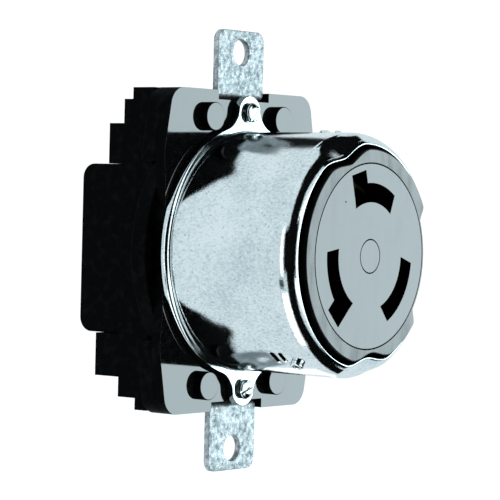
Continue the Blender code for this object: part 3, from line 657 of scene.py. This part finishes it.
def make_shell_rivet():
    low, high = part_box("shell_rivet")
    x, z = polar(SHELL_RADIUS, BUTTON_ANGLE)
    profile = [(0, -2.1 * MM), (0.7 * MM, -2.1 * MM), (0.7 * MM, 0.05 * MM), (1.35 * MM, 0.05 * MM)]
    profile += arc((1.05 * MM, 0.62 * MM), 0.36 * MM, -20, 200, 14)
    profile += [(0.66 * MM, 0.2 * MM), (0, 0.16 * MM)]
    rivet = turned("shell_button", profile, 64)
    # A black disc set in the button's dished top paints the shade of its hole.
    recess = [(0, 0.1 * MM), (0.68 * MM, 0.1 * MM), (0.68 * MM, 0.3 * MM), (0, 0.34 * MM)]
    dark = turned("button_hole_painted_shade", recess, 32)
    for piece, finish, nodes in ((rivet, "bright", ["shell_rivet"]), (dark, "painted_shade_black", [])):
        stand_on(piece, (x, (low.y + high.y) / 2, z), (x, 0, z))
        mark_sharp(piece, 50)
        finish_piece(piece, finish, "shell_steel", *nodes)


# ---------------------------------------------------------------------------------------------------------
# Strap


def make_strap():
    thick = -strap_low.y
    leg = STRAP_LEG
    plate = strap_high.y - thick
    top = [(strap_high.y, leg + thick), (0.5 * MM, leg + thick)]
    top += arc((0.5 * MM, leg + thick + 0.5 * MM), 0.5 * MM, 270, 180, 4)
    top += [(0, strap_high.z), (-thick, strap_high.z)]
    top += arc((-thick + 1.3 * MM, leg + 1.3 * MM), 1.3 * MM, 180, 270, 10)
    top += [(plate, leg)]
    side = top + [(y, -z) for y, z in reversed(top)]
    strap = prism("strap_plate", side, strap_low.x, strap_high.x, "X")
    half, corner = STRAP_TAB
    quadrant = arc((half - corner, strap_high.z - corner), corner, 90, 0, 10)
    quadrant += [(half, 24.5 * MM), (strap_high.x - 1.9 * MM, 21.5 * MM), (strap_high.x, 19.5 * MM)]
    carve(strap, prism("outline", four_way(quadrant), -10 * MM, 10 * MM), operation="INTERSECT")
    holes = [rod("opening", STRAP_OPENING, -9 * MM, 9 * MM, steps=96)]
    for way in (-1, 1):
        holes.append(rod("hole", STRAP_HOLE[0], -9 * MM, 9 * MM, (0, way * STRAP_HOLE[1])))
        holes.append(rod("thread", SCREW_HOLE, -9 * MM, 9 * MM, (0, way * EAR_HOLE_Z), steps=32))
    holes.append(rod("rivet_hole", 1.3 * MM, -9 * MM, 9 * MM, (-17.2 * MM, 10.5 * MM), steps=32))
    carve(strap, *holes)
    soften(strap, 0.16 * MM, 2, 35)
    finish_piece(strap, "zinc", "strap_steel", "mounting_strap")


# ---------------------------------------------------------------------------------------------------------
# Front housing


def flange_corner():
    """The first quadrant's notch and rounded corner."""
    corner = (19.9 * MM, flange_high.z - 4.0 * MM)
    return [NOTCH, (NOTCH[0], flange_high.z), *arc(corner, 4.0 * MM, 90, 8, 14)]


def plate_outline():
    return four_way([*flange_corner(), PLATE_WIDEST, PLATE_WAIST, (PLATE_WAIST[0], 0)])


def deep_outline():
    """Behind the plate: four corner blocks, and a disc that bulges past the plate's sides."""
    (wide_x, wide_z), (waist_x, waist_z) = PLATE_WIDEST, PLATE_WAIST
    ledge_x = waist_x + (wide_x - waist_x) * (LEDGE - waist_z) / (wide_z - waist_z)
    start = math.degrees(math.asin(LEDGE / DISC_RADIUS))
    round_part = arc((0, 0), DISC_RADIUS, start, 0, 40)
    return four_way([*flange_corner(), PLATE_WIDEST, (ledge_x, LEDGE), *round_part])


def make_flange():
    parts = (
        ("flange_plate", plate_outline(), (FLANGE_FRONT, PLATE_REAR + 0.02 * MM), 0.3 * MM, "flange_black"),
        # The disc behind the plate is all in the painted-shade black.
        ("flange_disc", deep_outline(), (PLATE_REAR, flange_high.y), 0.2 * MM, "painted_shade_black"),
    )
    for name, outline, (front, rear), edge, finish in parts:
        part = prism(name, outline, front, rear)
        cuts = [rod("bore", CORE_BORE, -9 * MM, 9 * MM, steps=128)]
        for way in (-1, 1):
            cuts.append(rod("ear_hole", SCREW_HOLE, -9 * MM, 9 * MM, (0, way * EAR_HOLE_Z), steps=32))
        for x, z in CORNERS:
            centre = (x * POST_X, z * POST_Z)
            cuts.append(rod("post_thread", SCREW_HOLE, -1.9 * MM, 9 * MM, centre, steps=32))
        carve(part, *cuts)
        soften(part, edge, 3, 35)
        nodes = ["front_flange_housing"] if front == FLANGE_FRONT else []
        # Faces of both pieces that don't look forwards get painted shade.
        finish_piece(part, finish, "black_phenolic", *nodes, sides="painted_shade_black")
    for x, z in CORNERS:
        make_post(x, z)


def make_post(x, z):
    """A short round post that stands on the plate, its end flat and its edge just broken."""
    edge = 0.16 * MM
    height = FLANGE_FRONT - POST_FRONT
    profile = [(0, -0.5 * MM), (POST_RADIUS, -0.5 * MM)]
    profile += arc((POST_RADIUS - edge, height - edge), edge, 0, 90, 4)
    profile += [(POST_RADIUS - edge - 0.03 * MM, height), (0, height)]
    name = f"post_{'right' if x > 0 else 'left'}_{'top' if z > 0 else 'bottom'}"
    post = turned(name, profile, 96)
    mark_sharp(post, 60)
    stand_on(post, (x * POST_X, FLANGE_FRONT, z * POST_Z), (0, -1, 0))
    # The post's round side gets painted shade; only its flat end is in the lit black.
    finish_piece(post, "flange_black", "black_phenolic", sides="painted_shade_black", facing=0.97)


# ---------------------------------------------------------------------------------------------------------
# Core and face


def make_core():
    edge = 0.14 * MM
    front = core_low.y
    face = disc_high.x + 0.2 * MM
    bore = CORE_BORE
    ledge = disc_high.y + 0.3 * MM
    outer = [(CORE_RADIUS - edge - 0.06 * MM, front, 1)]
    for t in np.radians([0, 22, 45, 68, 90]):
        outer.append((CORE_RADIUS - edge + edge * math.sin(t), front + edge - edge * math.cos(t), 1))
    outer += [(CORE_RADIUS, y, 1) for y in np.linspace(front + 0.6 * MM, -5.6 * MM, 12)]
    outer += [(core_high.x, -4.9 * MM, 0), (core_high.x, core_high.y, 0)]
    outer += [(bore, core_high.y, 0), (bore, ledge, 0)]
    seam = 0.1 * MM
    outer += [(face, ledge, 0), (face, front + seam, 0), (face + 0.3 * seam, front + 0.3 * seam, 0)]
    outer += [(face + seam, front, 0), (face + 1.6 * seam, front, 0)]
    steps = 720
    points = np.zeros((steps, len(outer), 3))
    for k in range(steps):
        angle = 360.0 * k / steps
        depth = key_depth(angle) * CORE_KEY_SCALE
        for i, (r, y, keyed) in enumerate(outer):
            x, z = polar(r - keyed * depth, angle)
            points[k, i] = (x, y, z)
    core = ring_surface("core_sleeve", points)
    mark_sharp(core, 35)
    # The sleeve's faces that don't look forwards, its outer wall among them, get painted shade.
    finish_piece(core, "ring_black", "core_phenolic", "core_ring", sides="painted_shade_black")


def sector(inner, outer, middle, half_inner, half_outer, steps=16):
    near = arc((0, 0), inner, middle - half_inner, middle + half_inner, steps)
    far = arc((0, 0), outer, middle + half_outer, middle - half_outer, steps)
    return near + far


def slot_cutters(name, middle, low, high):
    cutters = [prism("slot", sector(*SLOT, middle, *SLOT_HALF_ANGLES), low, high)]
    if name != "right":
        along = Vector(polar(1, middle + LEG_LEAN))
        across = Vector((-along.y, along.x))
        corners = [along * r + across * s for r in (sum(SLOT) / 2, LEG_REACH) for s in LEG_SIDES]
        cutters.append(prism("slot_leg", hull([tuple(c) for c in corners]), low, high))
    return cutters


def make_face():
    front, rear = disc_low.y, disc_high.y
    disc = prism("face_insert", arc((0, 0), FACE_RADIUS, 0, 360, 256)[:-1], front, rear)
    for name, middle in SLOT_ANGLES.items():
        carve(disc, *slot_cutters(name, middle, front - MM, rear + MM))
    carve(disc, rod("plug_seat", plug_high.x + 0.18 * MM, front - MM, rear - MM, steps=96))
    carve(disc, rod("screw_hole", SCREW_HOLE, front, rear + MM, steps=48))
    soften(disc, 0.07 * MM, 2, 30)
    # The insert's slot walls and edges get painted shade.
    finish_piece(disc, "core_black", "core_phenolic", "face_disc", sides="painted_shade_black")
    edge = 0.07 * MM
    depth = plug_high.y - plug_low.y
    radius = plug_high.x
    profile = [(0, 0), (radius, 0), (radius, depth - edge), (radius - 0.3 * edge, depth - 0.3 * edge)]
    profile += [(radius - edge, depth), (radius - 1.5 * edge, depth), (0, depth)]
    plug = turned("face_plug", profile, 128)
    mark_sharp(plug, 30)
    stand_on(plug, (0, plug_high.y, 0), (0, -1, 0))
    # The plug's side gets painted shade.
    finish_piece(plug, "core_black", "core_phenolic", "centre_plug", sides="painted_shade_black")
    profile = [(0, -0.3 * MM), (0.34 * MM, -0.3 * MM), (0.32 * MM, 0), (0.2 * MM, 0.02 * MM), (0, 0.02 * MM)]
    pip = turned("mould_pip", profile, 24)
    stand_on(pip, (-8.9 * MM, front + 0.02 * MM, 10.9 * MM), (0, -1, 0))
    finish_piece(pip, "painted_shade_black", "core_phenolic")


# ---------------------------------------------------------------------------------------------------------
# Rear body


def make_rear_housing():
    outline = [(rear_low.y, rear_low.z), (rear_low.y, rear_high.z)]
    for (y, z), (_, next_z) in zip(REAR_STEPS, [*REAR_STEPS[1:], (0, rear_low.z)]):
        outline += [(y, z), (y, next_z)]
    outline = [p for i, p in enumerate(outline) if i == 0 or p != outline[i - 1]]
    housing = prism("rear_body", outline, rear_low.x, rear_high.x, "X")
    cuts = [box("strap_room", (-8.325 * MM, 0, -40 * MM), (8.325 * MM, 5.7 * MM, 40 * MM))]
    cuts.append(box("strap_room", (-19.6 * MM, 0, -22.1 * MM), (19.6 * MM, 5.7 * MM, 22.1 * MM)))
    for x in (-1, 1):
        clamp = (x * LUG_X, CLAMP_Y)
        cuts.append(rod("driver_relief", WELL_RADIUS + 0.4 * MM, -40 * MM, 40 * MM, clamp, "Z"))
        for z in (-1, 1):
            centre = (x * POST_X, z * POST_Z)
            cuts.append(rod("screw_seat", 2.9 * MM, 10.2 * MM, 30 * MM, centre))
            cuts.append(rod("screw_hole", SCREW_HOLE, 0, 30 * MM, centre, steps=32))
    carve(housing, *cuts)
    soften(housing, 0.45 * MM, 3, 35)
    finish_piece(housing, "body_black", "black_phenolic", "rear_housing")


def make_rear_cover():
    front, rear = cover_low.y, cover_high.y
    y, z = rear - COVER_CORNER, cover_high.z - COVER_CORNER
    side = [(front, -cover_high.z), *arc((y, -z), COVER_CORNER, -90, 0, 12)]
    side += [*arc((y, z), COVER_CORNER, 0, 90, 12), (front, cover_high.z)]
    cover = prism("terminal_cover", side, cover_low.x, cover_high.x, "X")
    cuts = []
    for side_x, side_z in TERMINALS.values():
        x = side_x * LUG_X
        z0, z1 = sorted((side_z * 2.6 * MM, side_z * 13.4 * MM))
        cuts.append(box("chamber", (x - 4.9 * MM, front - MM, z0), (x + 4.9 * MM, 22.3 * MM, z1)))
        cuts.append(rod("wire_hole", WIRE_HOLE, 21 * MM, 30 * MM, (x, side_z * WIRE_Z)))
        w0, w1 = sorted((side_z * 12 * MM, side_z * 40 * MM))
        cuts.append(rod("well", WELL_RADIUS, w0, w1, (x, CLAMP_Y), "Z"))
    carve(cover, *cuts)
    soften(cover, 0.4 * MM, 3, 35)
    finish_piece(cover, "body_black", "black_phenolic", "rear_cover")


# ---------------------------------------------------------------------------------------------------------
# CAD nodes that keep their own shape


def dress_nodes():
    finish = {
        "black_phenolic": "body_black",
        "brass": "brass",
        "spring_steel": "spring",
        "zinc_steel": "screw_zinc",
    }
    slots = {part["node"]: part["material_slot"] for part in frame["record"]["subparts"]}
    for name, node in frame["nodes"].items():
        if node.hide_render:
            continue
        chosen = finish[slots[name]]
        # Contacts take the darker brass copy, which paints the shade of the slots they sit in.
        if chosen == "brass" and name.startswith("contact_"):
            chosen = "contact_brass_painted_shade"
        node.data.materials.clear()
        node.data.materials.append(FINISHES[chosen])


# ---------------------------------------------------------------------------------------------------------
# Floor, light and camera


def direction(azimuth, elevation):
    a, e = math.radians(azimuth), math.radians(elevation)
    return Vector((math.sin(a) * math.cos(e), -math.cos(a) * math.cos(e), math.sin(e)))


def make_floor():
    reach = FLOOR_REACH
    level = CAD_BOX[0].z - FLOOR_DROP
    mesh = bpy.data.meshes.new("floor")
    corners = [(-reach, -reach, level), (reach, -reach, level), (reach, reach, level), (-reach, reach, level)]
    mesh.from_pydata(corners, [], [(0, 1, 2, 3)])
    floor = link("floor", mesh)
    g = Graph("pale_floor")
    g.shader.inputs["Base Color"].default_value = (0.80, 0.88, 0.93, 1)
    g.shader.inputs["Specular IOR Level"].default_value = 0.0
    g.join(g.remap(g.noise(3, 3), 0.3, 0.7, 0.75, 0.85), g.shader.inputs["Roughness"])
    g.shader.inputs["Emission Color"].default_value = (1.0, 0.96, 0.93, 1)
    g.shader.inputs["Emission Strength"].default_value = 0.42
    mesh.materials.append(g.material)
    floor.visible_glossy = False


def make_world():
    """Pale all round, and pure white where the camera sees it."""
    world = bpy.data.worlds.new("studio")
    bpy.context.scene.world = world
    world.use_nodes = True
    tree = world.node_tree
    background = tree.nodes["Background"]
    background.inputs["Color"].default_value = (0.86, 0.95, 1.0, 1)
    background.inputs["Strength"].default_value = 0.86
    backdrop = tree.nodes.new("ShaderNodeBackground")
    backdrop.inputs["Color"].default_value = (1, 1, 1, 1)
    backdrop.inputs["Strength"].default_value = 1.05
    mix = tree.nodes.new("ShaderNodeMixShader")
    path = tree.nodes.new("ShaderNodeLightPath")
    tree.links.new(path.outputs["Is Camera Ray"], mix.inputs["Fac"])
    tree.links.new(background.outputs[0], mix.inputs[1])
    tree.links.new(backdrop.outputs[0], mix.inputs[2])
    tree.links.new(mix.outputs[0], tree.nodes["World Output"].inputs["Surface"])


def softbox(name, azimuth, elevation, distance, size, radiance, tint):
    """A rectangular light that faces the object; its power gives the radiance asked for."""
    data = bpy.data.lights.new(name, "AREA")
    data.shape = "RECTANGLE"
    data.size, data.size_y = size
    data.energy = radiance * math.pi * size[0] * size[1]
    data.color = tint
    lamp = bpy.data.objects.new(name, data)
    back = direction(azimuth, elevation)
    lamp.location = back * distance
    lamp.rotation_mode = "QUATERNION"
    lamp.rotation_quaternion = back.to_track_quat("Z", "Y")
    lamp.visible_camera = False
    bpy.context.scene.collection.objects.link(lamp)


def card(name, points, faces, tone):
    """A cloth-covered card that darkens one side of the room; only reflections show it."""
    mesh = bpy.data.meshes.new(name)
    mesh.from_pydata([tuple(p) for p in points], [], faces)
    sheet = link(name, mesh)
    g = Graph(name + "_felt")
    weave = g.noise(60, 2)
    g.join(g.blend(weave, (tone,) * 3, (tone * 1.3,) * 3), g.shader.inputs["Base Color"])
    g.shader.inputs["Specular IOR Level"].default_value = 0.0
    mesh.materials.append(g.material)
    sheet.visible_camera = False


def flat_card(name, azimuth, elevation, distance, size, tone):
    across = direction(azimuth + 90, 0) * size[0] / 2
    up = direction(azimuth, elevation).cross(across).normalized() * size[1] / 2
    centre = direction(azimuth, elevation) * distance
    corners = [centre + across * i + up * j for i, j in ((-1, -1), (1, -1), (1, 1), (-1, 1))]
    card(name, corners, [(0, 1, 2, 3)], tone)


def curved_card(name, tilts, angles, distance):
    """A black sweep that stands where a shoulder with these tilts and angles reflects, from the camera."""
    view = direction(CAMERA_AZIMUTH, CAMERA_ELEVATION)
    columns = np.linspace(*angles, 60)
    rows = np.linspace(*tilts, 9)
    points = []
    for angle in columns:
        for tilt in rows:
            x, z = polar(math.cos(math.radians(tilt)), angle)
            normal = Vector((x, -math.sin(math.radians(tilt)), z))
            points.append((2 * normal.dot(view) * normal - view) * distance)
    index = np.arange(len(points)).reshape(len(columns), len(rows))
    faces = np.stack([index[:-1, :-1], index[1:, :-1], index[1:, 1:], index[:-1, 1:]], -1).reshape(-1, 4)
    card(name, points, faces.tolist(), BLACK)


def make_lights():
    for name, numbers in SOFTBOXES.items():
        softbox(name, *numbers)
    curved_card("room", (29, 48), (100, 262), 0.7)
    for name, numbers in CARDS.items():
        flat_card(name, *numbers)


def make_camera():
    a = math.radians(CAMERA_AZIMUTH)
    back = direction(CAMERA_AZIMUTH, CAMERA_ELEVATION)
    right = Vector((math.cos(a), math.sin(a), 0))
    up = back.cross(right)
    turn = math.radians(CAMERA_ROLL)
    image_right = right * math.cos(turn) + up * math.sin(turn)
    image_up = up * math.cos(turn) - right * math.sin(turn)
    data = bpy.data.cameras.new("camera")
    data.sensor_width = 36.0
    data.lens = CAMERA_LENS
    data.clip_start, data.clip_end = 0.01, 20
    camera = bpy.data.objects.new("camera", data)
    bpy.context.scene.collection.objects.link(camera)
    tab_front = Vector((0, strap_low.y, 0))
    place = right * CAMERA_ASIDE + up * CAMERA_ABOVE + back * CAMERA_DISTANCE + tab_front
    rotation = Matrix((image_right, image_up, back)).transposed().to_4x4()
    camera.matrix_world = Matrix.Translation(place) @ rotation
    bpy.context.scene.camera = camera


make_camera()
make_shell()
make_shell_screws()
make_shell_rivet()
make_strap()
make_flange()
make_core()
make_face()
make_rear_housing()
make_rear_cover()
dress_nodes()
make_floor()
make_world()
make_lights()
bpy.context.scene.view_settings.view_transform = "Standard"
